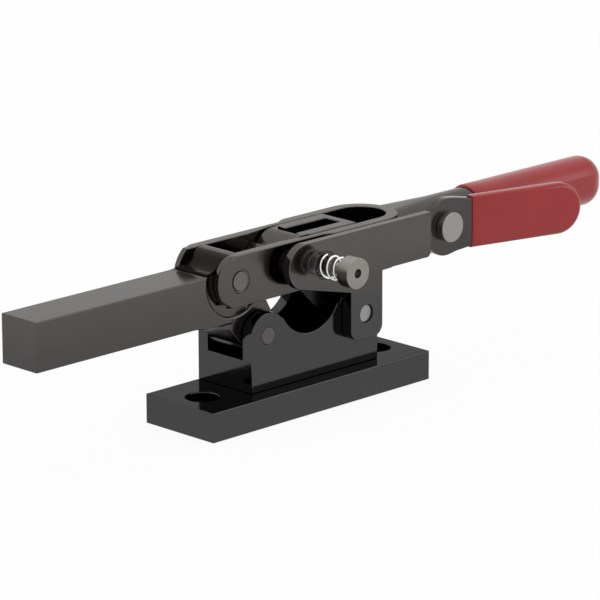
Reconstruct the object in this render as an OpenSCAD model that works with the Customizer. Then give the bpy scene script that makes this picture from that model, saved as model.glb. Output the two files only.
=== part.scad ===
// Toggle clamp on a flat base: square arm, forged handle frame, link with side plate and lock plunger, thumb lever.
// Origin at the centre of the base plate's underside, +X toward the handle, +Z up, millimetres.

/* [Base] */
// Length of the base plate
base_len = 127; // [110:0.5:140]
// Width of the base plate
base_wid = 40; // [38:0.5:50]
// Thickness of the base plate
base_thk = 12.7; // [10:0.1:14]
// Distance from the centre to each bolt hole
bolt_x = 50.6; // [46:0.1:54]
// Diameter of the two bolt holes
bolt_d = 14; // [10:0.1:16]
// Front face of the base body
body_x0 = -33.9; // [-36:0.1:-32]
// Rear face of the base body
body_x1 = 40; // [38:0.1:42]
// Mid-plane of the mechanism in Y
mid_y = 3.9; // [2:0.1:5]
// Slot between the two cheeks
slot_wid = 20.8; // [20.6:0.05:22]
// Thickness of each cheek
cheek_thk = 5.6; // [4:0.1:6]
// Top of the front web
web_top = 26.2; // [22:0.1:26.4]
// Thickness of the front web
web_thk = 6; // [4:0.1:6.2]
// Floor between the cheeks
floor_z = 18; // [14:0.1:22]
// Height of the rear web
rear_web_top = 23; // [20:0.1:24]
// Radius of the round boss at the arm pivot
boss_a_r = 9.9; // [9:0.05:10]
// Radius of the round boss at the rear pivot
boss_c_r = 12.2; // [11:0.05:12.2]
// Radius of the scoop in the top of the cheeks
scoop_r = 17.8; // [16:0.1:19]
// Diameter of the four screws under the plate
screw_d = 6; // [5:0.1:6.5]
// Distance of the screws from the centre in X
screw_x = 20; // [16:0.5:24]

/* [Pivots] */
// Arm pivot, X
arm_px = -24.2; // [-25:0.1:-23]
// Arm pivot and rear pivot, Z
low_pz = 35.7; // [35:0.1:36.5]
// Handle pivot on the arm, X
hand_px = -37.4; // [-38:0.1:-37]
// Handle pivot on the arm, Z
hand_pz = 61; // [60.5:0.1:61.5]
// Link hub, X
hub_px = -7.9; // [-9:0.1:-7]
// Link hub, Z
hub_pz = 62.8; // [62.4:0.1:63]
// Rear pivot of the link, X
link_px = 27.8; // [27:0.1:28.5]
// Diameter of the arm pin
arm_pin_d = 7.4; // [6.6:0.1:8]
// Diameter of the handle pin
hand_pin_d = 8.15; // [7:0.05:8.4]
// Diameter of the rear pin
link_pin_d = 7.7; // [6.8:0.1:8]
// Diameter of the hub pin
hub_pin_d = 7; // [6:0.1:7.6]
// Radial running clearance of the pins
run_gap = 0.05; // [0.02:0.01:0.09]
// Radial clearance of the hub pin in the handle frame
hub_gap = 1.2; // [1.1:0.05:1.6]
// Wall of the pivot bushings
bush_wall = 1.5; // [1:0.1:1.7]
// Side clearance of the moving forgings
side_gap = 0.3; // [0.2:0.05:0.5]

/* [Arm] */
// Section of the square arm
bar = 20.4; // [18:0.1:20.6]
// Free end of the arm
arm_end = -145.1; // [-160:0.5:-120]
// Underside of the arm
bar_z0 = 44.1; // [43:0.1:45]
// Top of the arm
bar_z1 = 64.8; // [63:0.1:66]
// Width of the hub between the handle ears
hub_wid = 18; // [16:0.1:18.2]
// Radius of the arm hub
arm_hub_r = 11.2; // [10:0.1:11.3]
// Radius of the concave rise to the hub
rise_r = 15; // [8:0.5:17]
// Outer radius of the soft relief round the ears
relief_r = 16.3; // [15.8:0.1:17]
// Radius of the arm lobe between the cheeks
lobe_r = 9.9; // [8.5:0.05:10]

/* [Handle] */
// Top of the handle frame
frame_z1 = 72.1; // [71:0.1:73]
// Underside of the handle frame
frame_z0 = 50.4; // [50:0.1:51]
// Half-width of the frame at the ears
ear_half = 13.7; // [13:0.1:14]
// Half-width of the frame behind
wide_half = 15.9; // [15:0.1:15.95]
// Radius of the round ears
ear_r = 13.3; // [12.4:0.1:13.4]
// Radius of the flat face of the ears
ear_face_r = 11.2; // [10:0.1:11.6]
// Depth of the ears' bevelled rim
ear_rim = 2.2; // [1:0.1:2.4]
// End of the straight ears, X
ear_end_x = 10; // [9:0.1:11]
// Start of the frame's full width, X
wide_x = 15; // [14:0.1:17]
// Centre of the round nose, X
nose_x = 45.5; // [42:0.1:48]
// Half-width of the cavity at the front
cav_half = 9.1; // [9.05:0.01:9.3]
// Half-width of the cavity at the rear
cav_rear = 11; // [10.6:0.1:11.4]
// Half-width of the neck where it leaves the nose
neck_half = 12.2; // [10:0.1:12.4]
// Half-width of the shank
shank_half = 8; // [6:0.1:8.2]
// Half-height of the neck and shank
shank_high = 9.9; // [8:0.1:10.2]
// Middle height of the shank
shank_z = 61.6; // [61:0.1:62]
// Start of the grip
grip_x0 = 107.5; // [100:0.5:120]
// End of the grip
grip_x1 = 198.5; // [180:0.5:215]
// Half-width of the grip
grip_half = 9.7; // [9.6:0.1:12]
// Half-height of the grip
grip_high = 11.7; // [11.6:0.1:13]

/* [Link] */
// Width of the link
link_wid = 20.2; // [18.4:0.1:20.4]
// Radius of the link hub
link_hub_r = 9.4; // [8.6:0.1:9.6]
// Radius of the narrow zone round the hub
link_nar_r = 16; // [15.7:0.1:17]
// Right end of the link
link_x1 = 33; // [32:0.1:35]
// Width of the slot in the link
link_slot = 9; // [7:0.1:10]
// Thickness of the side plate
side_thk = 5.35; // [4.5:0.05:6.2]
// Clearance between the side plate and the handle frame
frame_space = 0.35; // [0.3:0.05:0.6]
// Clearance between the side plate's leg and the near cheek
leg_space = 0.25; // [0.2:0.05:0.5]
// Top edge of the side plate
side_z1 = 72.5; // [72:0.1:73]
// Lower edge of the side plate
side_z0 = 53; // [52:0.1:54]
// Right end of the side plate
side_x1 = 66.6; // [62:0.1:68]
// Left edge of the leg
leg_x0 = 18.5; // [17:0.1:19]
// Right edge of the leg
leg_x1 = 37.2; // [36:0.1:38.5]
// Bottom of the leg
leg_z0 = 25; // [24:0.1:26]
// Radius of the plate's round end
side_r = 9.8; // [9:0.1:10.5]

/* [Plunger] */
// Plunger axis, X
plun_x = 3.6; // [2:0.1:5]
// Plunger axis, Z
plun_z = 61.3; // [60.5:0.1:62]
// Diameter of the knob
knob_d = 13; // [12:0.1:14]
// Length of the knob
knob_len = 6.3; // [5:0.1:7]
// Length of the spring at rest
spring_len = 12.1; // [10:0.1:14]
// Outer diameter of the spring
spring_d = 10.5; // [8:0.1:11]
// Wire of the spring
wire_d = 0.95; // [0.8:0.05:1.1]
// Turns of the spring
spring_turns = 4.2; // [3:0.1:5]
// Diameter of the stem
stem_d = 5; // [4:0.1:5.4]
// Diameter of the ring round the stem
ring_d = 12; // [11:0.1:13]

/* [Thumb lever] */
// Pivot of the thumb lever, X
lev_px = 82.3; // [81:0.1:83]
// Pivot of the thumb lever, Z
lev_pz = 62.4; // [62:0.1:63]
// Radius of the knuckle
knuckle_r = 12.2; // [11:0.1:12.4]
// Near face of the knuckle
knuckle_y = -12; // [-12.3:0.1:-11.5]
// Thickness of the lever
lever_thk = 4; // [3:0.1:4.4]
// Bend line of the lever, X
bend_x = 88.3; // [87.5:0.1:89]
// Outward angle of the lever's blade
bend_deg = 15; // [10:0.5:18]
// Length of the blade from the bend
blade_len = 62; // [50:0.5:70]
// Height of the blade
blade_high = 19.6; // [16:0.1:20]
// Start of the lever's grip along the blade
lev_grip_s0 = 7.4; // [6:0.1:12]
// Wall of the lever's grip
lev_grip_wall = 1.2; // [0.8:0.1:1.6]
// Diameter of the pivot head
head_d = 13; // [11:0.1:14]
// Height of the pivot head
head_len = 3.6; // [2.5:0.1:4]

/* [Hidden] */
$fn = 72;
eps = 0.01;
blend_c = [0.2, 50.1];
face_n = mid_y - slot_wid / 2 - cheek_thk;
face_f = mid_y + slot_wid / 2 + cheek_thk;
lobe_wid = slot_wid - 2 * side_gap;
side_y1 = min(mid_y - wide_half - frame_space, face_n - leg_space);
side_y0 = side_y1 - side_thk;
clip_y0 = side_y1 - 3.85;
clip_y1 = clip_y0 + 0.75;
stem_y1 = clip_y1 + 0.55;
spring_y1 = side_y0;
spring_y0 = side_y0 - spring_len;
knob_y = spring_y0 - knob_len;
frame_mid = (frame_z0 + frame_z1) / 2;
dark = [0.27, 0.26, 0.25];
grey = [0.45, 0.43, 0.41];
bright = [0.75, 0.74, 0.72];
red = [0.6, 0.15, 0.17];

// A bar along Y with its section drawn in X and Z
module along_y(y0, y1) {
  translate([0, y1, 0]) rotate([90, 0, 0]) linear_extrude(height = y1 - y0) children();
}

// A round bar along Y
module rod(x, z, d, y0, y1) {
  translate([x, y1, z]) rotate([90, 0, 0]) cylinder(d = d, h = y1 - y0);
}

// A ring along Y
module tube(x, z, d_out, d_in, y0, y1) {
  difference() {
    rod(x, z, d_out, y0, y1);
    rod(x, z, d_in, y0 - 1, y1 + 1);
  }
}

// Points of an arc round a centre, from one angle to another
function arc(c, r, from, to, step = 4) =
  let (n = max(1, ceil(abs(to - from) / step)))
  [for (i = [0:n]) c + r * [cos(from + (to - from) * i / n), sin(from + (to - from) * i / n)]];

arm_p = [arm_px, low_pz];
hand_p = [hand_px, hand_pz];
hub_p = [hub_px, hub_pz];
link_p = [link_px, low_pz];

module base_plate() {
  color(dark) difference() {
    translate([-base_len / 2, -base_wid / 2, 0]) cube([base_len, base_wid, base_thk]);
    for (s = [-1, 1]) {
      translate([s * bolt_x, 0, -1]) cylinder(d = bolt_d, h = base_thk + 2);
    }
    for (s = [-1, 1], t = [-1, 1]) {
      translate([s * screw_x, mid_y + t * (slot_wid / 2 - 4), -1]) cylinder(d = screw_d, h = base_thk + 2);
      translate([s * screw_x, mid_y + t * (slot_wid / 2 - 4), -1]) cylinder(d = screw_d * 1.8, h = screw_d + 1.6);
    }
  }
}

module base_screws() {
  color(grey) for (s = [-1, 1], t = [-1, 1]) {
    translate([s * screw_x, mid_y + t * (slot_wid / 2 - 4), 0.6]) difference() {
      union() {
        cylinder(d = screw_d * 1.8, h = screw_d);
        cylinder(d = screw_d, h = base_thk + 2.6);
      }
      translate([0, 0, -1]) cylinder(d = screw_d * 0.83, h = screw_d * 0.5 + 1, $fn = 6);
    }
  }
}

module cheek_shape() {
  difference() {
    translate([body_x0, base_thk]) square([body_x1 - body_x0, low_pz + 6 - base_thk]);
    translate([body_x0 - 1, low_pz]) square([arm_px - body_x0 + 1, 30]);
    translate(blend_c) circle(r = scoop_r);
    translate([link_px, low_pz]) square([20, 20]);
  }
  translate(arm_p) circle(r = boss_a_r);
  difference() {
    translate([link_px - boss_c_r, base_thk + 1]) square([boss_c_r, low_pz + 12 - base_thk]);
    translate(blend_c) circle(r = scoop_r);
    translate([link_px - boss_c_r - 1, low_pz]) square([boss_c_r + 1, 30]);
  }
  difference() {
    translate(link_p) circle(r = boss_c_r);
    translate(blend_c) circle(r = scoop_r);
  }
}

module base_body() {
  color(dark) difference() {
    union() {
      along_y(face_n, face_f) cheek_shape();
    }
    along_y(mid_y - slot_wid / 2, mid_y + slot_wid / 2) difference() {
      translate([body_x0 - 10, floor_z]) square([body_x1 - body_x0 + 20, 60]);
      translate([body_x0, base_thk]) square([web_thk, web_top - base_thk]);
      translate([body_x1 - web_thk, base_thk]) square([web_thk, rear_web_top - base_thk]);
    }
    rod(arm_px, low_pz, arm_pin_d, face_n - 1, face_f + 1);
    rod(link_px, low_pz, link_pin_d, face_n - 1, face_f + 1);
    for (s = [-1, 1], t = [-1, 1]) {
      translate([s * screw_x, mid_y + t * (slot_wid / 2 - 4), base_thk - 1]) cylinder(d = screw_d, h = 4.4);
    }
  }
}

module arm_pin() {
  color(bright) rod(arm_px, low_pz, arm_pin_d, face_n, face_f);
}

module link_pin() {
  color(bright) rod(link_px, low_pz, link_pin_d, side_y0 + 1.1, face_f);
}

module arm_shape() {
  rise_x = hand_px - sqrt(pow(rise_r + arm_hub_r, 2) - pow(bar_z1 + rise_r - hand_pz, 2));
  rise_c = [rise_x, bar_z1 + rise_r];
  meet = rise_c + rise_r / (rise_r + arm_hub_r) * (hand_p - rise_c);
  polygon([
    [arm_end, bar_z0], [hand_px - 23, bar_z0], [hand_px - 20, bar_z0 - 0.2], [hand_px - 3.3, low_pz + 4.6],
    [arm_px - lobe_r * 0.95, low_pz - lobe_r * 0.3], [arm_px, low_pz], [arm_px + lobe_r * 0.866, low_pz + lobe_r * 0.5],
    [arm_px + 7, low_pz + 9], [hand_px + 13.6, hand_pz - 4.4], [hand_px, hand_pz], [hand_px, bar_z1], [arm_end, bar_z1]
  ]);
  translate(arm_p) circle(r = lobe_r);
  difference() {
    translate([rise_c[0], hand_pz]) square([meet[0] - rise_c[0], meet[1] - hand_pz]);
    translate(rise_c) circle(r = rise_r);
  }
  difference() {
    translate(hand_p) circle(r = arm_hub_r);
    translate([hand_px + 0.9, hand_pz]) square([20, 20]);
  }
  translate(hand_p) circle(r = 8.2);
}

module arm() {
  color(grey) difference() {
    intersection() {
      along_y(mid_y - bar / 2, mid_y + bar / 2) arm_shape();
      union() {
        translate([arm_end - 1, mid_y - bar / 2, bar_z0 - 1]) cube([arm_px - 14 - arm_end, bar, 40]);
        translate([arm_px - 22, mid_y - lobe_wid / 2, low_pz - 14]) cube([60, lobe_wid, frame_z0 - 0.4 - low_pz + 14]);
        translate([arm_px - 22, mid_y - hub_wid / 2, low_pz]) cube([60, hub_wid, 60]);
      }
    }
    for (s = [-1, 1]) {
      translate([hand_px, mid_y + s * hub_wid / 2, hand_pz]) rotate([-90 * s, 0, 0]) union() {
        cylinder(r1 = relief_r - 1.8, r2 = relief_r, h = (bar - hub_wid) / 2 + eps);
        translate([0, 0, (bar - hub_wid) / 2]) cylinder(r = relief_r, h = 3);
      }
    }
    rod(hand_px, hand_pz, hand_pin_d + 2 * run_gap + 2 * bush_wall, -20, 30);
    rod(arm_px, low_pz, arm_pin_d + 2 * run_gap + 2 * bush_wall, -20, 30);
  }
}

module arm_bushing() {
  d_in = arm_pin_d + 2 * run_gap;
  color(bright) tube(arm_px, low_pz, d_in + 2 * bush_wall, d_in, mid_y - lobe_wid / 2, mid_y + lobe_wid / 2);
}

module handle_bushing() {
  d_in = hand_pin_d + 2 * run_gap;
  color(bright) tube(hand_px, hand_pz, d_in + 2 * bush_wall, d_in, mid_y - hub_wid / 2, mid_y + hub_wid / 2);
}

module frame_plan() {
  translate([hand_px - 16, mid_y - ear_half]) square([ear_end_x + 16 - hand_px, 2 * ear_half]);
  polygon([
    [ear_end_x, mid_y - ear_half], [wide_x, mid_y - wide_half], [nose_x, mid_y - wide_half],
    [nose_x, mid_y + wide_half], [wide_x, mid_y + wide_half], [ear_end_x, mid_y + ear_half]
  ]);
  translate([nose_x, mid_y]) circle(r = wide_half);
}

module cavity_plan() {
  translate([hand_px - 18, mid_y - cav_half]) square([8 - hand_px, 2 * cav_half]);
  polygon([
    [-11, mid_y - cav_half], [2, mid_y - cav_rear], [nose_x, mid_y - cav_rear],
    [nose_x, mid_y + cav_rear], [2, mid_y + cav_rear], [-11, mid_y + cav_half]
  ]);
  translate([nose_x, mid_y]) circle(r = cav_rear);
}

// A flat slice of the neck with rounded corners, at one X
module neck_slice(x, half, high, r) {
  for (s = [-1, 1], t = [-1, 1]) {
    translate([x, mid_y + s * (half - r), shank_z + t * (high - r)]) rotate([0, 90, 0]) cylinder(r = r, h = 0.6, $fn = 32);
  }
}

module shank(extra) {
  hull() {
    neck_slice(nose_x + 9, neck_half, shank_high, 8);
    neck_slice(88, shank_half, shank_high, 7.4);
  }
  hull() {
    neck_slice(88, shank_half, shank_high, 7.4);
    neck_slice(grip_x1 - 12 + extra, shank_half, shank_high, 7.4);
  }
}

module handle_frame() {
  color(grey) difference() {
    union() {
      intersection() {
        translate([0, 0, frame_z0]) linear_extrude(height = frame_z1 - frame_z0) frame_plan();
        union() {
          translate([hand_px, -20, frame_z0]) cube([120, 50, frame_z1 - frame_z0]);
          rod(hand_px, hand_pz, 2 * ear_r, mid_y - ear_half + ear_rim, mid_y + ear_half - ear_rim);
          for (s = [-1, 1]) {
            translate([hand_px, mid_y + s * (ear_half - ear_rim), hand_pz]) rotate([-90 * s, 0, 0])
              cylinder(r1 = ear_r, r2 = ear_face_r, h = ear_rim);
          }
        }
      }
      shank(0);
    }
    translate([0, 0, frame_z0 - 4]) linear_extrude(height = 40) cavity_plan();
    rod(hand_px, hand_pz, hand_pin_d, -20, 30);
    rod(hand_px, hand_pz, hand_pin_d + 2, mid_y - ear_half - 1, mid_y - ear_half + 0.7);
    rod(hand_px, hand_pz, hand_pin_d + 2, mid_y + ear_half - 0.7, mid_y + ear_half + 1);
    rod(hub_px, hub_pz, hub_pin_d + 2 * hub_gap, -20, 30);
    rod(lev_px, lev_pz, 8, -20, mid_y + 2);
  }
}

module handle_pin() {
  color(bright) rod(hand_px, hand_pz, hand_pin_d, mid_y - ear_half + 0.2, mid_y + ear_half - 0.2);
}

module handle_grip() {
  r = grip_half - 0.2;
  color(red) difference() {
    hull() {
      for (s = [-1, 1], t = [-1, 1]) {
        translate([grip_x0, mid_y + s * (grip_half - r), shank_z + t * (grip_high - r)]) rotate([0, 90, 0]) cylinder(r = r, h = 1, $fn = 32);
        translate([grip_x1 - r, mid_y + s * (grip_half - r), shank_z + t * (grip_high - r - 0.6)]) sphere(r = r, $fn = 32);
      }
    }
    shank(0);
  }
}

module link_shape() {
  lobe = 10;
  run = link_p - hub_p;
  lead = atan2(run[1], run[0]);
  open = acos((link_hub_r - lobe) / norm(run));
  polygon(concat(
    arc(hub_p, link_hub_r, 90, 288),
    arc(link_p, lobe, lead - open - 8, 8),
    [[link_x1, hub_pz + link_hub_r]]
  ));
}

module link() {
  color(grey) difference() {
    along_y(mid_y - link_wid / 2, mid_y + link_wid / 2) link_shape();
    for (s = [-1, 1]) {
      translate([hub_px, mid_y + s * (hub_wid / 2 + 2), hub_pz]) rotate([90, 0, 0]) cylinder(r = link_nar_r, h = 4, center = true);
    }
    translate([2, mid_y - link_slot / 2 - 0.2, 46]) cube([27, link_slot, 40]);
    rod(hub_px, hub_pz, hub_pin_d, -20, 30);
    rod(link_px, low_pz, link_pin_d + 2 * run_gap + 2 * bush_wall, -20, 30);
  }
}

module link_bushing() {
  d_in = link_pin_d + 2 * run_gap;
  color(bright) tube(link_px, low_pz, d_in + 2 * bush_wall, d_in, mid_y - link_wid / 2, mid_y + link_wid / 2);
}

module hub_pin() {
  color(bright) rod(hub_px, hub_pz, hub_pin_d, side_y0 + 2.6, mid_y + ear_half - 0.4);
}

module hub_spacer() {
  color(grey) tube(hub_px, hub_pz, hub_pin_d + 6, hub_pin_d, side_y1, mid_y - ear_half - 0.25);
}

module side_shape() {
  corner = 4.8;
  polygon(concat(
    arc(hub_p, side_r, 82, 245),
    [[leg_x0, 46.5]],
    arc([leg_x0 + corner, leg_z0 + corner], corner, 180, 270, 8),
    arc([leg_x1 - corner, leg_z0 + corner], corner, 270, 360, 8),
    [[leg_x1, side_z0], [side_x1 - 1.5, side_z0], [side_x1, side_z0 + 1.5], [side_x1, side_z1]]
  ));
}

module side_plate() {
  color(grey) difference() {
    along_y(side_y0, side_y1) side_shape();
    rod(link_px, low_pz, link_pin_d + 2 * run_gap, -30, 0);
    rod(hub_px, hub_pz, hub_pin_d, side_y0 + 2.6, 0);
    rod(plun_x, plun_z, ring_d, -30, 0);
  }
}

module plunger_ring() {
  color(dark) difference() {
    rod(plun_x, plun_z, ring_d, side_y0, side_y1);
    rod(plun_x, plun_z, stem_d + 2 * run_gap, side_y0 - 1, side_y1 + 1);
    rod(plun_x, plun_z, stem_d + 3.2, clip_y0 - 0.05, side_y1 + 1);
  }
}

module plunger_stem() {
  color(grey) difference() {
    rod(plun_x, plun_z, stem_d, spring_y0 - 3, stem_y1);
    tube(plun_x, plun_z, stem_d + 2, stem_d - 1.2, clip_y0, clip_y1);
  }
}

module plunger_clip() {
  color(bright) tube(plun_x, plun_z, stem_d + 2.4, stem_d - 1.2, clip_y0, clip_y1);
}

// A round wire wound on a cylinder whose axis is Z
module coil(r, wire, length, turns) {
  steps = ceil(turns * 22);
  sides = 10;
  rise = length - wire;
  ring_pts = [for (i = [0:steps], j = [0:sides - 1])
    let (a = 360 * turns * i / steps, b = 360 * j / sides)
    [(r + wire / 2 * cos(b)) * cos(a), (r + wire / 2 * cos(b)) * sin(a), wire / 2 + rise * i / steps + wire / 2 * sin(b)]];
  skin = [for (i = [0:steps - 1], j = [0:sides - 1])
    [i * sides + j, i * sides + (j + 1) % sides, (i + 1) * sides + (j + 1) % sides, (i + 1) * sides + j]];
  caps = [[for (j = [sides - 1:-1:0]) j], [for (j = [0:sides - 1]) steps * sides + j]];
  polyhedron(points = ring_pts, faces = [for (f = concat(skin, caps)) [for (k = [len(f) - 1:-1:0]) f[k]]], convexity = 10);
}

module plunger_spring() {
  color(bright) translate([plun_x, spring_y1 - 0.02, plun_z]) rotate([90, 0, 0])
    coil((spring_d - wire_d) / 2, wire_d, spring_y1 - spring_y0 - 0.04, spring_turns);
}

module plunger_knob() {
  color(bright) difference() {
    rod(plun_x, plun_z, knob_d, knob_y, spring_y0);
    rod(plun_x, plun_z, 3.8, knob_y - 1, spring_y0 - 3 + eps);
    rod(plun_x, plun_z, stem_d, spring_y0 - 3, spring_y0 + 1);
  }
}

// Places children with X along the blade of the thumb lever and Y through its near face
module on_blade() {
  translate([bend_x, knuckle_y, lev_pz]) rotate([0, 0, -bend_deg]) children();
}

module thumb_lever() {
  color(grey) difference() {
    union() {
      along_y(knuckle_y, knuckle_y + lever_thk) difference() {
        union() {
          translate([lev_px, lev_pz]) circle(r = knuckle_r);
          polygon([
            [lev_px, lev_pz], [lev_px + 3.4, lev_pz + knuckle_r * 0.96], [bend_x, lev_pz + blade_high / 2],
            [bend_x, lev_pz - blade_high / 2], [lev_px + 3.4, lev_pz - knuckle_r * 0.96]
          ]);
        }
        translate([bend_x, lev_pz - 20]) square([20, 40]);
      }
      on_blade() {
        translate([-0.6, 0, -blade_high / 2]) cube([blade_len - blade_high / 2 + 0.6, lever_thk, blade_high]);
        rod(blade_len - blade_high / 2, 0, blade_high, 0, lever_thk);
      }
    }
    translate([bend_x - 6, knuckle_y - 10, 0]) cube([12, 10, 100]);
    rod(lev_px, lev_pz, 8 + 2 * run_gap, -30, 0);
  }
}

module lever_grip() {
  w = lev_grip_wall;
  high = blade_high + 2 * w;
  last = blade_len - blade_high / 2;
  color(red) on_blade() difference() {
    union() {
      translate([lev_grip_s0, -w, -high / 2]) cube([last - lev_grip_s0, lever_thk + 2 * w, high]);
      rod(last, 0, high, -w, lever_thk + w);
    }
    translate([-1, 0, -blade_high / 2]) cube([last + 1, lever_thk, blade_high]);
    rod(last, 0, blade_high, 0, lever_thk);
  }
}

module lever_pin() {
  color(bright) union() {
    rod(lev_px, lev_pz, head_d, knuckle_y - head_len, knuckle_y - 0.05);
    rod(lev_px, lev_pz, 8, knuckle_y - 1, mid_y + 2);
  }
}

module lever_spacer() {
  color(grey) difference() {
    tube(lev_px, lev_pz, 15, 8, knuckle_y + lever_thk + 0.05, mid_y - 6);
    shank(0);
  }
}

base_plate();
base_body();
base_screws();
arm_pin();
link_pin();
arm();
arm_bushing();
handle_bushing();
handle_frame();
handle_pin();
handle_grip();
link();
link_bushing();
hub_pin();
hub_spacer();
side_plate();
plunger_ring();
plunger_stem();
plunger_clip();
plunger_spring();
plunger_knob();
thumb_lever();
lever_pin();
lever_spacer();
lever_grip();
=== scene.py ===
import logging
import math
from collections.abc import Callable, Mapping, Sequence
from dataclasses import dataclass
from enum import Enum
from typing import Any

import bmesh
import bpy
from mathutils import Matrix, Vector


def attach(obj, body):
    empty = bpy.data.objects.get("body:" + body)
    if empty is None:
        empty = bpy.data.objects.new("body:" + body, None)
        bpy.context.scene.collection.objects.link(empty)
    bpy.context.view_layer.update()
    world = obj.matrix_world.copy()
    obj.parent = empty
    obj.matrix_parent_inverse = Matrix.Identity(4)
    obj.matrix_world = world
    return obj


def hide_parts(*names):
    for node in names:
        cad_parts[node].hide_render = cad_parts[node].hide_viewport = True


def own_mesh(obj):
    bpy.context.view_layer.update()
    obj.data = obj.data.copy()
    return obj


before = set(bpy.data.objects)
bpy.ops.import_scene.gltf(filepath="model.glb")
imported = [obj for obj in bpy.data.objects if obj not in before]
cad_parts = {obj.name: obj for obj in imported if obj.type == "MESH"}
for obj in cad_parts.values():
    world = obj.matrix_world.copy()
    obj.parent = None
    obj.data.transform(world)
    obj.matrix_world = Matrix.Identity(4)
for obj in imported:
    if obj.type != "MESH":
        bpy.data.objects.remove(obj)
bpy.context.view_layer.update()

LOG = logging.getLogger("toggle_clamp")
MM = 0.001
SHARP = math.radians(32)
NEAR_ENOUGH = 0.05
Point = tuple[float, float, float]
Colour = tuple[float, float, float]
Pair = tuple[float, float]
Reshape = Callable[[float, float, float], Point]


class Slot(Enum):
    """Material slot names."""

    OXIDE = "black_oxide"
    FORGED = "forged_steel"
    BUSHING = "bushing_steel"
    PIN = "pin_steel"
    KNOB = "knob_steel"
    WIRE = "spring_wire"
    VINYL = "red_vinyl"


class Socket:
    """A shader output that takes plain arithmetic."""

    def __init__(self, graph: "Graph", socket: bpy.types.NodeSocket) -> None:
        """Keeps the graph and the output.

        Args:
            graph: The graph that the output belongs to.
            socket: The output itself.
        """
        self.graph = graph
        self.socket = socket

    def _math(self, kind: str, *values: "Socket | float") -> "Socket":
        """One Math node.

        Args:
            kind: The node's operation.
            values: Its inputs in order.

        Returns:
            The node's output.
        """
        return self.graph.node("ShaderNodeMath", {"operation": kind}, dict(enumerate(values)))

    def __add__(self, other: "Socket | float") -> "Socket":
        """Sum."""
        return self._math("ADD", self, other)

    def __radd__(self, other: float) -> "Socket":
        """Sum with a number first."""
        return self._math("ADD", other, self)

    def __sub__(self, other: "Socket | float") -> "Socket":
        """Difference."""
        return self._math("SUBTRACT", self, other)

    def __rsub__(self, other: float) -> "Socket":
        """Difference from a number."""
        return self._math("SUBTRACT", other, self)

    def __mul__(self, other: "Socket | float") -> "Socket":
        """Product."""
        return self._math("MULTIPLY", self, other)

    def __truediv__(self, other: "Socket | float") -> "Socket":
        """Quotient."""
        return self._math("DIVIDE", self, other)

    def clamped(self) -> "Socket":
        """The value held between 0 and 1."""
        return self._math("MINIMUM", self._math("MAXIMUM", self, 0.0), 1.0)

    def ramp(self, low: float, high: float) -> "Socket":
        """Maps a band of values to 0 and 1.

        Args:
            low: Value that becomes 0.
            high: Value that becomes 1.

        Returns:
            The mapped and clamped value.
        """
        return ((self - low) / (high - low)).clamped()


class Graph:
    """The node tree of one material or of the world."""

    def __init__(self, owner: bpy.types.Material | bpy.types.World) -> None:
        """Empties the owner's node tree.

        Args:
            owner: The material or world.
        """
        owner.use_nodes = True
        self.owner = owner
        self.tree = owner.node_tree
        self.tree.nodes.clear()

    def add(
        self,
        kind: str,
        settings: Mapping[str, Any] | None = None,
        inputs: Mapping[int | str, Any] | None = None,
    ) -> bpy.types.Node:
        """Adds any node.

        Args:
            kind: The node's type.
            settings: Values of its properties.
            inputs: Its inputs by name or number, as outputs or plain values.

        Returns:
            The node.
        """
        node = self.tree.nodes.new(kind)
        for key, value in (settings or {}).items():
            setattr(node, key, value)
        for key, value in (inputs or {}).items():
            if isinstance(value, Socket):
                self.tree.links.new(value.socket, node.inputs[key])
            else:
                node.inputs[key].default_value = value
        return node

    def node(
        self,
        kind: str,
        settings: Mapping[str, Any] | None = None,
        inputs: Mapping[int | str, Any] | None = None,
        output: int | str = 0,
    ) -> Socket:
        """Adds any node and gives one of its outputs.

        Args:
            kind: The node's type.
            settings: Values of its properties.
            inputs: Its inputs by name or number, as outputs or plain values.
            output: The output that is returned.

        Returns:
            That output.
        """
        return Socket(self, self.add(kind, settings, inputs).outputs[output])

    def place(self) -> Socket:
        """The object's own coordinates, in metres."""
        return self.node("ShaderNodeTexCoord", output="Object")

    def height(self) -> Socket:
        """The Z of the object's own coordinates."""
        return self.node("ShaderNodeSeparateXYZ", None, {0: self.place()}, output="Z")

    def noise(self, scale: float, detail: float, roughness: float = 0.5) -> Socket:
        """A cloudy pattern.

        Args:
            scale: Waves per metre.
            detail: Number of finer layers.
            roughness: Weight of the finer layers.

        Returns:
            The pattern, from 0 to 1.
        """
        inputs = {"Vector": self.place(), "Scale": scale, "Detail": detail, "Roughness": roughness}
        return self.node("ShaderNodeTexNoise", {"noise_dimensions": "3D"}, inputs)

    def mix(self, share: "Socket | float", low: "Socket | Colour", high: "Socket | Colour") -> Socket:
        """A colour between two.

        Args:
            share: 0 for the first, 1 for the second.
            low: The first colour.
            high: The second colour.

        Returns:
            The mixed colour.
        """
        ends = {6: low, 7: high}
        inputs = {"Factor": share} | {k: v if isinstance(v, Socket) else (*v, 1.0) for k, v in ends.items()}
        return self.node("ShaderNodeMix", {"data_type": "RGBA"}, inputs, output=2)

    def bump(self, height: Socket, strength: float, distance: float) -> Socket:
        """A normal from a height.

        Args:
            height: The height pattern.
            strength: How much of it shows.
            distance: Its full height in metres.

        Returns:
            The normal.
        """
        inputs = {"Height": height, "Strength": strength, "Distance": distance}
        return self.node("ShaderNodeBump", None, inputs)

    def finish(self, shader: Socket, output: str = "ShaderNodeOutputMaterial") -> bpy.types.ID:
        """Joins a shader to the output.

        Args:
            shader: The closed surface.
            output: The output node's type.

        Returns:
            The finished material or world.
        """
        self.add(output, None, {"Surface": shader})
        return self.owner


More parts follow.
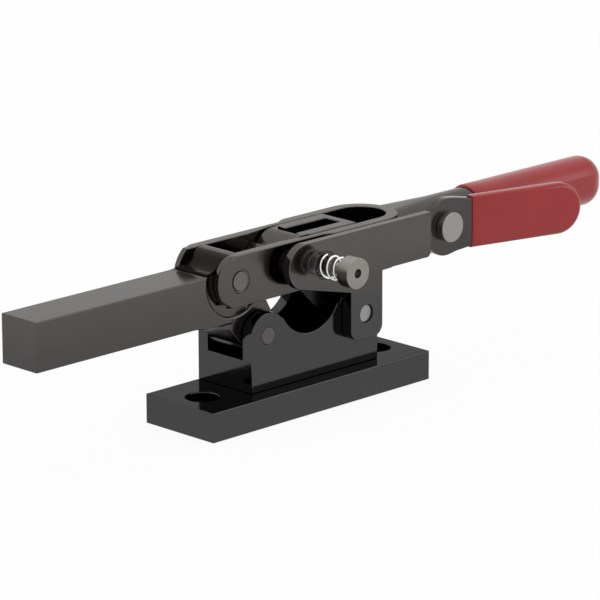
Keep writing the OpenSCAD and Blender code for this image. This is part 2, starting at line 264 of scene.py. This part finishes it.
@dataclass(frozen=True)
class SteelFinish:
    """Dark glossy steel with faint clouding; painted light makes it lighter and warmer towards its upper
    part, and painted shade can darken it between two heights.
    """

    name: str
    low: Colour
    high: Colour
    roughness: float
    edge_tint: float = 1.0
    # Painted light: heights in mm over which the colour turns from low to high, so the upper part looks
    # lit.
    painted_light_span: Pair = (36.0, 66.0)
    # Painted shade: heights in mm between which the colour turns to the dark shade tone, with soft edges.
    painted_shade: Pair | None = None
    painted_shade_tone: Colour = (0.016, 0.014, 0.013)
    painted_shade_edge: float = 0.1
    clouding: float = 0.14
    spread: float = 0.05
    fine_spread: float = 0.03
    grain: float = 0.08
    grain_height: float = 0.00001
    cloud_scale: float = 55.0
    grain_scale: float = 1500.0

    def material(self) -> bpy.types.Material:
        """Builds the material.

        Returns:
            The finished steel.
        """
        g = Graph(bpy.data.materials.new(self.name))
        cloud = g.noise(self.cloud_scale, 4.0, 0.6)
        fine = g.noise(self.grain_scale, 3.0, 0.6)
        # Painted light: the colour runs from low to high going up, so the upper part looks lit.
        rise = g.height().ramp(*(v * MM for v in self.painted_light_span))
        share = (rise + (cloud - 0.5) * self.clouding * 4).clamped()
        colour = g.mix(share, self.low, self.high)
        # Painted shade: a dark strip of colour between two heights, where shade falls.
        if self.painted_shade:
            low, high = (v * MM for v in self.painted_shade)
            edge = self.painted_shade_edge * MM
            up = g.height()
            painted_shade_share = up.ramp(low, low + edge) * (1.0 - up.ramp(high - edge, high))
            colour = g.mix(painted_shade_share, colour, self.painted_shade_tone)
        roughness = self.roughness + (cloud - 0.5) * self.spread + (fine - 0.5) * self.fine_spread
        inputs = {
            "Base Color": colour,
            "Metallic": 1.0,
            "Specular Tint": (self.edge_tint,) * 3 + (1.0,),
            "Roughness": roughness.clamped(),
            "Normal": g.bump(fine, self.grain, self.grain_height),
        }
        return g.finish(g.node("ShaderNodeBsdfPrincipled", None, inputs))


@dataclass(frozen=True)
class TurnedFinish:
    """Turned steel whose end faces carry fine tool rings about an axis along Y."""

    name: str
    low: Colour
    high: Colour
    centre: Pair
    roughness: float = 0.35
    spread: float = 0.12
    pitch: float = 0.00022
    cloud_scale: float = 220.0
    cloud_share: float = 0.75
    ring_share: float = 0.06
    lift: float = 0.1
    ring_bump: float = 0.12
    ring_height: float = 0.00001

    @staticmethod
    def toned(name: str, tone: float, centre: Pair) -> "TurnedFinish":
        """A turned end of one tone.

        Args:
            name: Name of the material.
            tone: Brightness of its darker places.
            centre: X and Z of the axis.

        Returns:
            The finish.
        """
        warmth, range_of_tone = (1.0, 0.96, 0.94), (1.0, 1.3)
        low, high = (tuple(tone * gain * c for c in warmth) for gain in range_of_tone)
        return TurnedFinish(name, low, high, centre)

    def material(self) -> bpy.types.Material:
        """Builds the material.

        Returns:
            The finished steel.
        """
        g = Graph(bpy.data.materials.new(self.name))
        middle = (self.centre[0] * MM, 0.0, self.centre[1] * MM)
        offset = g.node("ShaderNodeVectorMath", {"operation": "SUBTRACT"}, {0: g.place(), 1: middle})
        flat = g.node("ShaderNodeVectorMath", {"operation": "MULTIPLY"}, {0: offset, 1: (1.0, 0.0, 1.0)})
        reach = g.node("ShaderNodeVectorMath", {"operation": "LENGTH"}, {0: flat}, output="Value")
        rings = g.node("ShaderNodeMath", {"operation": "SINE"}, {0: reach * (math.tau / self.pitch)})
        cloud = g.noise(self.cloud_scale, 3.0)
        share = (cloud * self.cloud_share + rings * self.ring_share + self.lift).clamped()
        inputs = {
            "Base Color": g.mix(share, self.low, self.high),
            "Metallic": 1.0,
            "Roughness": (self.roughness + (cloud - 0.5) * self.spread).clamped(),
            "Normal": g.bump(rings, self.ring_bump, self.ring_height),
        }
        return g.finish(g.node("ShaderNodeBsdfPrincipled", None, inputs))


@dataclass(frozen=True)
class VinylFinish:
    """Dipped vinyl: deep red, soft sheen, faint waviness."""

    name: str
    low: Colour
    high: Colour
    roughness: float = 0.22
    spread: float = 0.08
    wave_scale: float = 28.0
    fine_scale: float = 900.0
    fine_share: float = 0.12
    wave: float = 0.3
    wave_height: float = 0.0003

    def material(self) -> bpy.types.Material:
        """Builds the material.

        Returns:
            The finished vinyl.
        """
        g = Graph(bpy.data.materials.new(self.name))
        cloud = g.noise(self.wave_scale, 3.0)
        fine = g.noise(self.fine_scale, 2.0)
        inputs = {
            "Base Color": g.mix(cloud.ramp(0.3, 0.7), self.low, self.high),
            "Metallic": 0.0,
            "Roughness": (self.roughness + (fine - 0.5) * self.spread).clamped(),
            "Normal": g.bump(cloud + fine * self.fine_share, self.wave, self.wave_height),
        }
        return g.finish(g.node("ShaderNodeBsdfPrincipled", None, inputs))


@dataclass(frozen=True)
class Paint:
    """Every finish of the clamp, built once."""

    oxide: bpy.types.Material
    forged: bpy.types.Material
    arm: bpy.types.Material
    plate: bpy.types.Material
    link: bpy.types.Material
    lever: bpy.types.Material
    bushing: bpy.types.Material
    wire: bpy.types.Material
    vinyl: bpy.types.Material

    @staticmethod
    def mixed() -> "Paint":
        """Builds all finishes.

        Returns:
            The set.
        """
        black, warm = (0.066, 0.065, 0.066), (0.096, 0.087, 0.081)
        finishes = {
            # Painted light: each steel here is painted lighter going up; the arm and the link also carry
            # painted shade.
            "oxide": SteelFinish("black_oxide", (0.06, 0.06, 0.061), (0.066, 0.066, 0.067), 0.1, 0.5),
            "forged": SteelFinish("forged_steel", black, warm, 0.17, 0.8),
            # Painted shade on the arm's hub crown, 64.9 to 71.9 mm up, between the handle's ears.
            "arm": SteelFinish("arm_steel_painted_shade", black, warm, 0.17, 0.8, painted_shade=(64.9, 71.9)),
            "plate": SteelFinish("plate_steel", (0.066, 0.066, 0.067), (0.1, 0.092, 0.086), 0.15, 0.8),
            # Painted shade: the link is near black below 60 mm and turns to the warm tone by 68 mm, for the
            # shade on its low part.
            "link": SteelFinish("link_steel_painted_shade", (0.022, 0.022, 0.022), warm, 0.2, 0.8, (60.0, 68.0)),
            "lever": SteelFinish("lever_steel", (0.058, 0.056, 0.055), (0.074, 0.071, 0.069), 0.16, 0.9),
            "bushing": SteelFinish("bushing_steel", (0.3, 0.29, 0.28), (0.36, 0.35, 0.34), 0.3),
            "wire": SteelFinish("spring_wire", (0.86, 0.86, 0.85), (0.92, 0.92, 0.91), 0.12),
            "vinyl": VinylFinish("red_vinyl", (0.265, 0.005, 0.007), (0.305, 0.007, 0.009)),
        }
        return Paint(**{name: finish.material() for name, finish in finishes.items()})


@dataclass
class Part:
    """Base of every sub-assembly: knows its body and dresses CAD nodes."""

    paint: Paint
    body: str

    def node(self, name: str) -> bpy.types.Object:
        """A CAD node by name."""
        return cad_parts[name]

    def wear(self, obj: bpy.types.Object, material: bpy.types.Material) -> bpy.types.Object:
        """Gives an object its finish.

        Args:
            obj: The object.
            material: The finish.

        Returns:
            The same object.
        """
        obj.data.materials.clear()
        obj.data.materials.append(material)
        LOG.info("%s wears %s on body %s", obj.name, material.name, self.body)
        return obj

    def carry(self, name: str, material: bpy.types.Material, slot: Slot) -> bpy.types.Object:
        """Dresses a CAD node that is kept as it is.

        Args:
            name: The node.
            material: The finish.
            slot: Not used.

        Returns:
            The node's object.
        """
        obj = self.node(name)
        obj.data.shade_smooth()
        obj.data.set_sharp_from_angle(angle=SHARP)
        return self.wear(obj, material)

    def stand_in(
        self, obj: bpy.types.Object, name: str, material: bpy.types.Material, slot: Slot
    ) -> bpy.types.Object:
        """Lets a new mesh take a CAD node's place.

        Args:
            obj: The new mesh.
            name: The node that it stands for.
            material: The finish.
            slot: Not used.

        Returns:
            The new mesh.
        """
        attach(obj, self.body)
        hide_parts(name)
        return self.wear(obj, material)

    def soften(
        self,
        name: str,
        material: bpy.types.Material,
        slot: Slot,
        width: float,
        reshape: Reshape | None = None,
    ) -> bpy.types.Object:
        """Stands a copy with rounded edges in a CAD node's place.

        Args:
            name: The node.
            material: The finish.
            slot: Not used.
            width: Width of the rounding in millimetres.
            reshape: Gives a point's new place, in millimetres.

        Returns:
            The copy.
        """
        mesh = self.node(name).data.copy()
        mesh.name = f"{name}_soft"
        bm = bmesh.new()
        bm.from_mesh(mesh)
        weld, flat = 0.004 * MM, math.radians(0.6)
        bmesh.ops.remove_doubles(bm, verts=bm.verts, dist=weld)
        bmesh.ops.dissolve_limit(
            bm, angle_limit=flat, verts=bm.verts, edges=bm.edges, use_dissolve_boundaries=False
        )
        if reshape:
            for vert in bm.verts:
                vert.co = Vector(reshape(*(c / MM for c in vert.co))) * MM
        bm.to_mesh(mesh)
        bm.free()
        if "custom_normal" in mesh.attributes:
            mesh.attributes.remove(mesh.attributes["custom_normal"])
        mesh.shade_smooth()
        obj = bpy.data.objects.new(f"{name}_soft", mesh)
        bpy.context.scene.collection.objects.link(obj)
        return self.stand_in(self.round_edges(obj, width), name, material, slot)

    @staticmethod
    def round_edges(obj: bpy.types.Object, width: float, segments: int = 3) -> bpy.types.Object:
        """Rounds an object's sharp edges.

        Args:
            obj: The object.
            width: Width of the rounding in millimetres.
            segments: Steps across the rounding.

        Returns:
            The same object.
        """
        bevel = obj.modifiers.new("edge", "BEVEL")
        bevel.width = width * MM
        bevel.segments = segments
        bevel.limit_method = "ANGLE"
        bevel.angle_limit = SHARP
        bevel.use_clamp_overlap = False
        even = obj.modifiers.new("even", "WEIGHTED_NORMAL")
        even.mode = "FACE_AREA"
        even.weight = 80
        even.keep_sharp = True
        return obj


class MeshKit:
    """Makes mesh objects from rings of points."""

    @staticmethod
    def loft(name: str, rings: Sequence[Sequence[Point]]) -> bpy.types.Object:
        """Skins rings of equal count and caps both ends.

        Args:
            name: The object's name.
            rings: Rings of points in millimetres.

        Returns:
            The object, smooth, in metres.
        """
        count = len(rings[0])
        points = [Vector(p) * MM for ring in rings for p in ring]
        faces = []
        for start in range(0, (len(rings) - 1) * count, count):
            for i in range(count):
                j = (i + 1) % count
                faces.append((start + i, start + j, start + count + j, start + count + i))
        faces.append(tuple(reversed(range(count))))
        faces.append(tuple(range((len(rings) - 1) * count, len(rings) * count)))
        mesh = bpy.data.meshes.new(name)
        mesh.from_pydata(points, [], faces)
        bm = bmesh.new()
        bm.from_mesh(mesh)
        bmesh.ops.recalc_face_normals(bm, faces=bm.faces)
        bm.to_mesh(mesh)
        bm.free()
        mesh.shade_smooth()
        mesh.set_sharp_from_angle(angle=math.radians(50))
        obj = bpy.data.objects.new(name, mesh)
        bpy.context.scene.collection.objects.link(obj)
        return obj

    @staticmethod
    def rounded(x: float, middle: Pair, half: Pair, r: float, count: int = 64) -> list[Point]:
        """A rounded rectangle across X.

        Args:
            x: Its place along X.
            middle: Its centre in Y and Z.
            half: Half its width and height.
            r: Its corner radius.
            count: Number of points.

        Returns:
            The ring.
        """
        r = min(r, half[0], half[1])
        ring = []
        for i in range(count):
            a = math.tau * (i + 0.5) / count
            c, s = math.cos(a), math.sin(a)
            ring.append((
                x,
                middle[0] + math.copysign(half[0] - r, c) + r * c,
                middle[1] + math.copysign(half[1] - r, s) + r * s,
            ))
        return ring


@dataclass
class BaseAssembly(Part):
    """Plate, body with two cheeks, screws and the two pins held in the cheeks."""

    body: str = "base"
    plate_edge: float = 0.45
    body_edge: float = 0.4
    pin_edge: float = 0.35
    arm_pivot: Pair = (-24.2, 35.7)
    rear_pivot: Pair = (27.8, 35.7)

    def build(self) -> None:
        """Dresses the base."""
        p = self.paint
        self.soften("base_plate", p.oxide, Slot.OXIDE, self.plate_edge)
        self.soften("base_body", p.oxide, Slot.OXIDE, self.body_edge)
        self.carry("base_screws", p.oxide, Slot.OXIDE)
        for name, pivot, tone in (("arm_pin", self.arm_pivot, 0.09), ("link_pin", self.rear_pivot, 0.25)):
            steel = TurnedFinish.toned(f"{name}_steel", tone, pivot).material()
            self.soften(name, steel, Slot.PIN, self.pin_edge)


@dataclass
class ArmAssembly(Part):
    """Square arm forging and its two bushings."""

    body: str = "arm"
    edge: float = 0.4
    pivot: Pair = (-37.4, 61.0)
    relief_from: float = 14.5
    relief_to: float = 16.0
    relief_end: float = 7.0

    def steep(self, x: float, y: float, z: float) -> Point:
        """Steepens the wall of the round relief beside the hub.

        Args:
            x: The point's X.
            y: The point's Y.
            z: The point's Z.

        Returns:
            The new place.
        """
        dx, dz = x - self.pivot[0], z - self.pivot[1]
        reach = math.hypot(dx, dz)
        if abs(reach - self.relief_from) > NEAR_ENOUGH or dx > self.relief_end:
            return x, y, z
        grow = self.relief_to / reach
        return self.pivot[0] + dx * grow, y, self.pivot[1] + dz * grow

    def build(self) -> None:
        """Dresses the arm."""
        self.soften("arm", self.paint.arm, Slot.FORGED, self.edge, self.steep)
        for name in ("arm_bushing", "handle_bushing"):
            self.carry(name, self.paint.bushing, Slot.BUSHING)


@dataclass
class HandleAssembly(Part):
    """Forged frame with its pins and the dipped grip."""

    body: str = "handle"
    edge: float = 0.35
    ear_from: float = 13.3
    near_ear: float = 11.3
    far_ear: float = 14.2
    ear_end: float = -4.0
    pin_edge: float = 0.3
    pivot: Pair = (-37.4, 61.0)
    lever_pivot: Pair = (82.3, 62.4)
    middle: Pair = (3.9, 61.3)
    grip_x: Pair = (110.5, 194.6)
    grip_half: Pair = (9.2, 11.2)
    shank_half: Pair = (8.0, 9.9)
    corner: float = 8.8
    shank_corner: float = 7.4
    smallest: float = 0.03
    dome: float = 10.0
    dome_steps: int = 14

    def ears(self, x: float, y: float, z: float) -> Point:
        """Sets the round shoulder of each ear.

        Args:
            x: The point's X.
            y: The point's Y.
            z: The point's Z.

        Returns:
            The new place.
        """
        dx, dz = x - self.pivot[0], z - self.pivot[1]
        if abs(math.hypot(dx, dz) - self.ear_from) > NEAR_ENOUGH or dx > self.ear_end:
            return x, y, z
        reach = self.near_ear if y < self.middle[0] else self.far_ear
        return self.pivot[0] - math.sqrt(reach**2 - dz * dz), y, z

    def grip(self) -> bpy.types.Object:
        """Builds the dipped grip with its rolled lip and round end.

        Returns:
            The grip.
        """
        x0, x1 = self.grip_x
        w, h = self.grip_half
        rings = [
            MeshKit.rounded(x0 + 6, self.middle, self.shank_half, self.shank_corner),
            MeshKit.rounded(x0 + 0.4, self.middle, self.shank_half, self.shank_corner),
            MeshKit.rounded(x0, self.middle, (w - 1.0, h - 1.0), self.corner - 1.0),
            MeshKit.rounded(x0, self.middle, (w - 0.6, h - 0.6), self.corner - 0.6),
            MeshKit.rounded(x0 + 0.25, self.middle, (w - 0.2, h - 0.2), self.corner - 0.2),
            MeshKit.rounded(x0 + 0.9, self.middle, (w, h), self.corner),
        ]
        straight = (x0 + 8, x0 + 40, x1 - self.dome - 4)
        rings += [MeshKit.rounded(x, self.middle, (w, h), self.corner) for x in straight]
        for i in range(self.dome_steps + 1):
            a = math.pi / 2 * i / self.dome_steps
            keep = max(math.cos(a), self.smallest)
            half = (w * keep, (h - 1.2 * (1 - keep)) * keep)
            x = x1 - self.dome + self.dome * math.sin(a)
            rings.append(MeshKit.rounded(x, self.middle, half, self.corner * keep))
        return MeshKit.loft("handle_grip_dipped", rings)

    def build(self) -> None:
        """Builds the grip and dresses the rest."""
        p = self.paint
        self.soften("handle_frame", p.forged, Slot.FORGED, self.edge, self.ears)
        for name, pivot, tone in (("handle_pin", self.pivot, 0.12), ("lever_pin", self.lever_pivot, 0.26)):
            steel = TurnedFinish.toned(f"{name}_steel", tone, pivot).material()
            self.soften(name, steel, Slot.PIN, self.pin_edge)
        self.carry("lever_spacer", p.forged, Slot.BUSHING)
        self.stand_in(self.grip(), "handle_grip", p.vinyl, Slot.VINYL)


@dataclass
class LinkAssembly(Part):
    """Slotted link, side plate with its leg, hub pin and plunger ring."""

    body: str = "link"
    edge: float = 0.4
    coil_axis: Pair = (3.6, 61.3)
    coil_y: Pair = (-17.72, -29.78)
    coil_radius: float = 4.78
    wire_radius: float = 0.475
    turns: float = 2.9
    push: float = 2.4
    hub: Pair = (-7.9, 62.8)
    hub_radius: float = 9.4
    low_radius: float = 5.6
    dome_x: float = 1.8
    plate_back: float = -14.0
    gap_from: float = 48.0
    plate_edge: float = 0.35
    ring_edge: float = 0.2
    low_turn: float = 80.0
    top_turn: float = 62.0
    wire_sides: int = 14

    def gap(self, x: float, y: float, z: float) -> Point:
        """Opens the shadow gap between the side plate and the handle frame.

        Args:
            x: The point's X.
            y: The point's Y.
            z: The point's Z.

        Returns:
            The new place.
        """
        return x, min(y, self.plate_back) if z > self.gap_from else y, z

    def dome(self, x: float, y: float, z: float) -> Point:
        """Lowers the link's hub and gives its top a round shoulder further back.

        Args:
            x: The point's X.
            y: The point's Y.
            z: The point's Z.

        Returns:
            The new place.
        """
        dx, dz = x - self.hub[0], z - self.hub[1]
        if abs(math.hypot(dx, dz) - self.hub_radius) > NEAR_ENOUGH or dz < 0 or dx > 0.01:
            return x, y, z
        t = 1 - math.atan2(dz, -dx) / (math.pi / 2)
        if t > 0.5:
            a = math.pi - math.radians(self.low_turn) * (1 - t) / 0.5
            x, r = self.hub[0], self.low_radius
        else:
            a = math.pi / 2 + math.radians(self.top_turn) * t / 0.5
            x, r = self.dome_x, self.hub_radius
        return x + r * math.cos(a), y, self.hub[1] + r * math.sin(a)

    def coil(self) -> bpy.types.Object:
        """Winds the round-wire spring.

        Returns:
            The spring.
        """
        steps = int(self.turns * 40)
        y0, y1 = self.coil_y
        x, z = self.coil_axis
        first, last = y0 - self.wire_radius, y1 + self.wire_radius
        rings = []
        for i in range(steps + 1):
            t = i / steps
            a = math.pi / 2 + math.tau * self.turns * t
            out = Vector((math.cos(a), 0.0, math.sin(a)))
            place = Vector((x, first + (last - first) * t, z)) + out * self.coil_radius
            ring = []
            for j in range(self.wire_sides):
                b = math.tau * j / self.wire_sides
                along = Vector((0, self.wire_radius * math.sin(b), 0))
                ring.append(tuple(place + out * self.wire_radius * math.cos(b) + along))
            rings.append(ring)
        return MeshKit.loft("plunger_spring_wound", rings)

    def build(self) -> None:
        """Builds the spring and dresses the rest."""
        p = self.paint
        self.soften("link", p.link, Slot.FORGED, self.edge, self.dome)
        self.soften("side_plate", p.plate, Slot.FORGED, self.plate_edge, self.gap)
        self.soften("plunger_ring", p.oxide, Slot.OXIDE, self.ring_edge)
        self.carry("hub_pin", p.bushing, Slot.PIN)
        self.carry("hub_spacer", p.forged, Slot.BUSHING)
        self.carry("link_bushing", p.bushing, Slot.BUSHING)
        spring = self.stand_in(self.coil(), "plunger_spring", p.wire, Slot.WIRE)
        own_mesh(spring)


@dataclass
class PlungerAssembly(Part):
    """Push knob with its stem and retaining clip."""

    body: str = "plunger"
    axis: Pair = (3.6, 61.3)
    knob_edge: float = 0.25

    def build(self) -> None:
        """Dresses the plunger."""
        face = TurnedFinish("knob_steel", (0.22, 0.21, 0.19), (0.3, 0.285, 0.265), self.axis).material()
        self.soften("plunger_knob", face, Slot.KNOB, self.knob_edge)
        self.carry("plunger_stem", self.paint.bushing, Slot.KNOB)
        self.carry("plunger_clip", self.paint.bushing, Slot.BUSHING)


@dataclass
class ThumbLever(Part):
    """Bent lever with its dipped grip."""

    body: str = "thumb"
    edge: float = 0.3
    pivot: Pair = (82.3, 62.4)
    near: float = -12.0
    thick: float = 4.0
    disc: float = 12.6
    lever_drop: float = 0.4
    bend: float = 6.0
    bend_angle: float = 15.0
    neck: Pair = (13.6, 10.5)
    blade_half: float = 9.7
    blade_to: float = 56.0
    grip_s: Pair = (7.4, 52.2)
    grip_half: float = 11.4
    grip_drop: float = 0.35
    grip_wall: float = 1.2
    soft: float = 2.1
    soft_steps: int = 5
    steps: int = 36

    def place(self, s: float, depth: float, z: float) -> Point:
        """Puts a point of the flat lever on the bent one.

        Args:
            s: Distance from the pivot along the lever.
            depth: Distance behind the near face.
            z: Height over the pivot.

        Returns:
            The point.
        """
        turn = math.radians(self.bend_angle)
        past = max(s - self.bend, 0.0)
        lean = turn if past > 0 else turn / 2 if s == self.bend else 0.0
        x = self.pivot[0] + min(s, self.bend) + past * math.cos(turn) + depth * math.sin(lean)
        return x, self.near - past * math.sin(turn) + depth * math.cos(lean), self.pivot[1] + z

    def slab(self, name: str, columns: Sequence[Pair], depths: Pair, drop: float) -> bpy.types.Object:
        """Skins a slab whose height changes along the lever.

        Args:
            name: The object's name.
            columns: Distance along the lever and half height of each column.
            depths: Its near and far face.
            drop: How far it sits below the pivot.

        Returns:
            The slab.
        """
        near, far = depths
        corners = ((near, 1), (near, -1), (far, -1), (far, 1))
        rings = [[self.place(s, d, side * half - drop) for d, side in corners] for s, half in columns]
        obj = MeshKit.loft(name, rings)
        obj.data.set_sharp_from_angle(angle=math.radians(12))
        return obj

    def lever(self) -> bpy.types.Object:
        """Builds the disc, the tapering neck and the blade.

        Returns:
            The lever.
        """
        turns = [math.radians(3 + 84 * i / self.steps) for i in range(self.steps + 1)]
        columns = [(-self.disc * math.cos(a), self.disc * math.sin(a)) for a in turns]
        meet = columns[-1][0] + 2.0
        run = self.neck[0] - meet
        taper = (self.disc - self.neck[1]) * (self.bend - meet) / run
        columns += [(meet, self.disc - 0.05), (self.bend, self.disc - taper)]
        columns += [self.neck, (self.neck[0] + 0.6, self.blade_half), (self.blade_to, self.blade_half)]
        return self.slab("thumb_lever_bent", columns, (0.0, self.thick), self.lever_drop)

    def grip(self) -> bpy.types.Object:
        """Builds the dipped grip with its round end and soft edges.

        Returns:
            The grip.
        """
        start, last = (self.bend + s for s in self.grip_s)
        front, back = -self.grip_wall, self.thick + self.grip_wall
        turns = [math.pi / 2 * i / self.soft_steps for i in range(self.soft_steps + 1)]
        near = [(self.soft * (1 - math.sin(a)), front + self.soft * (1 - math.cos(a))) for a in turns]
        rings = []
        for inset, depth in near + [(inset, back + front - depth) for inset, depth in reversed(near)]:
            half = self.grip_half - inset
            flat = [(start + inset, half), (start + inset, -half)]
            arc = [math.pi * (i / self.steps - 0.5) for i in range(self.steps + 1)]
            flat += [(last + half * math.cos(a), half * math.sin(a)) for a in arc]
            rings.append([self.place(s, depth, z - self.grip_drop) for s, z in flat])
        return MeshKit.loft("lever_grip_dipped", rings)

    def build(self) -> None:
        """Builds the lever and its grip."""
        lever = self.round_edges(self.lever(), self.edge)
        self.stand_in(lever, "thumb_lever", self.paint.lever, Slot.FORGED)
        self.stand_in(self.grip(), "lever_grip", self.paint.vinyl, Slot.VINYL)


@dataclass
class Studio:
    """Pale floor, soft lights, white surround and the camera."""

    eye: Point = (-1121.87, -1135.2, 494.46)
    right: Point = (0.7090, -0.7052, -0.0021)
    up: Point = (0.1932, 0.1912, 0.9624)
    lens: float = 239.57
    floor_half: float = 3.0
    floor_drop: float = 0.0004
    target: Point = (0.02, 0.0, 0.045)
    ambient: float = 0.95
    mirrored: float = 1.0
    floor_tone: float = 0.8
    floor_glow: float = 0.93
    lamps: tuple[tuple[str, Point, float, float], ...] = (
        ("key", (0.95, -1.15, 0.55), 0.9, 3.0),
        ("top", (0.1, 0.35, 1.3), 1.0, 2.0),
    )

    def floor(self) -> None:
        """Lays a floor that the camera sees as plain white."""
        corners = ((-1, -1), (1, -1), (1, 1), (-1, 1))
        points = [(x * self.floor_half, y * self.floor_half, -self.floor_drop) for x, y in corners]
        mesh = bpy.data.meshes.new("floor")
        mesh.from_pydata(points, [], [(0, 1, 2, 3)])
        obj = bpy.data.objects.new("floor", mesh)
        bpy.context.scene.collection.objects.link(obj)
        g = Graph(bpy.data.materials.new("floor_white"))
        matte = g.node("ShaderNodeBsdfDiffuse", None, {"Color": (self.floor_tone,) * 3 + (1.0,)})
        glow = g.node("ShaderNodeEmission", None, {"Color": (1.0, 1.0, 1.0, 1.0), "Strength": 1.0})
        seen = g.node("ShaderNodeLightPath", output="Is Camera Ray")
        mirrored = g.node("ShaderNodeLightPath", output="Is Glossy Ray")
        share = (seen * self.floor_glow + mirrored).clamped()
        mesh.materials.append(g.finish(g.node("ShaderNodeMixShader", None, {0: share, 1: matte, 2: glow})))

    def surround(self) -> None:
        """Makes the world white to the camera and softer to the clamp."""
        world = bpy.data.worlds.new("surround")
        bpy.context.scene.world = world
        g = Graph(world)
        last = self.backdrop(g, self.ambient)
        for ray, strength in (("Is Glossy Ray", self.mirrored), ("Is Camera Ray", 1.0)):
            seen = g.node("ShaderNodeLightPath", output=ray)
            last = g.node("ShaderNodeMixShader", None, {0: seen, 1: last, 2: self.backdrop(g, strength)})
        g.finish(last, "ShaderNodeOutputWorld")

    @staticmethod
    def backdrop(g: Graph, strength: float) -> Socket:
        """One plain white background.

        Args:
            g: The world's graph.
            strength: Its brightness.

        Returns:
            Its output.
        """
        inputs = {"Color": (1.0, 1.0, 1.0, 1.0), "Strength": strength}
        return g.node("ShaderNodeBackground", None, inputs)

    def lights(self) -> None:
        """Hangs the area lamps, each turned to the clamp."""
        for name, place, size, power in self.lamps:
            lamp = bpy.data.lights.new(name, "AREA")
            lamp.shape = "SQUARE"
            lamp.size = size
            lamp.energy = power
            obj = bpy.data.objects.new(name, lamp)
            obj.location = place
            obj.rotation_mode = "QUATERNION"
            obj.rotation_quaternion = (Vector(self.target) - Vector(place)).to_track_quat("-Z", "Y")
            bpy.context.scene.collection.objects.link(obj)

    def camera(self) -> None:
        """Sets the camera where the photograph was taken from."""
        data = bpy.data.cameras.new("camera")
        data.lens = self.lens
        data.sensor_width = 36.0
        data.clip_start, data.clip_end = 0.05, 20.0
        right = Vector(self.right).normalized()
        up = (Vector(self.up) - right * Vector(self.up).dot(right)).normalized()
        turn = Matrix((right, up, right.cross(up))).transposed().to_4x4()
        obj = bpy.data.objects.new("camera", data)
        obj.matrix_world = Matrix.Translation(Vector(self.eye) * MM) @ turn
        bpy.context.scene.collection.objects.link(obj)
        bpy.context.scene.camera = obj
        bpy.context.scene.view_settings.view_transform = "Standard"

    def build(self) -> None:
        """Sets everything round the clamp."""
        self.floor()
        self.surround()
        self.lights()
        self.camera()
        LOG.info("studio ready")


def main() -> None:
    """Builds the clamp and its studio in order."""
    logging.basicConfig(level=logging.INFO, format="%(name)s: %(message)s")
    paint = Paint.mixed()
    for kind in (BaseAssembly, ArmAssembly, HandleAssembly, LinkAssembly, PlungerAssembly, ThumbLever):
        assembly = kind(paint)
        assembly.build()
        LOG.info("%s done", kind.__name__)
    Studio().build()


if __name__ == "__main__":
    main()
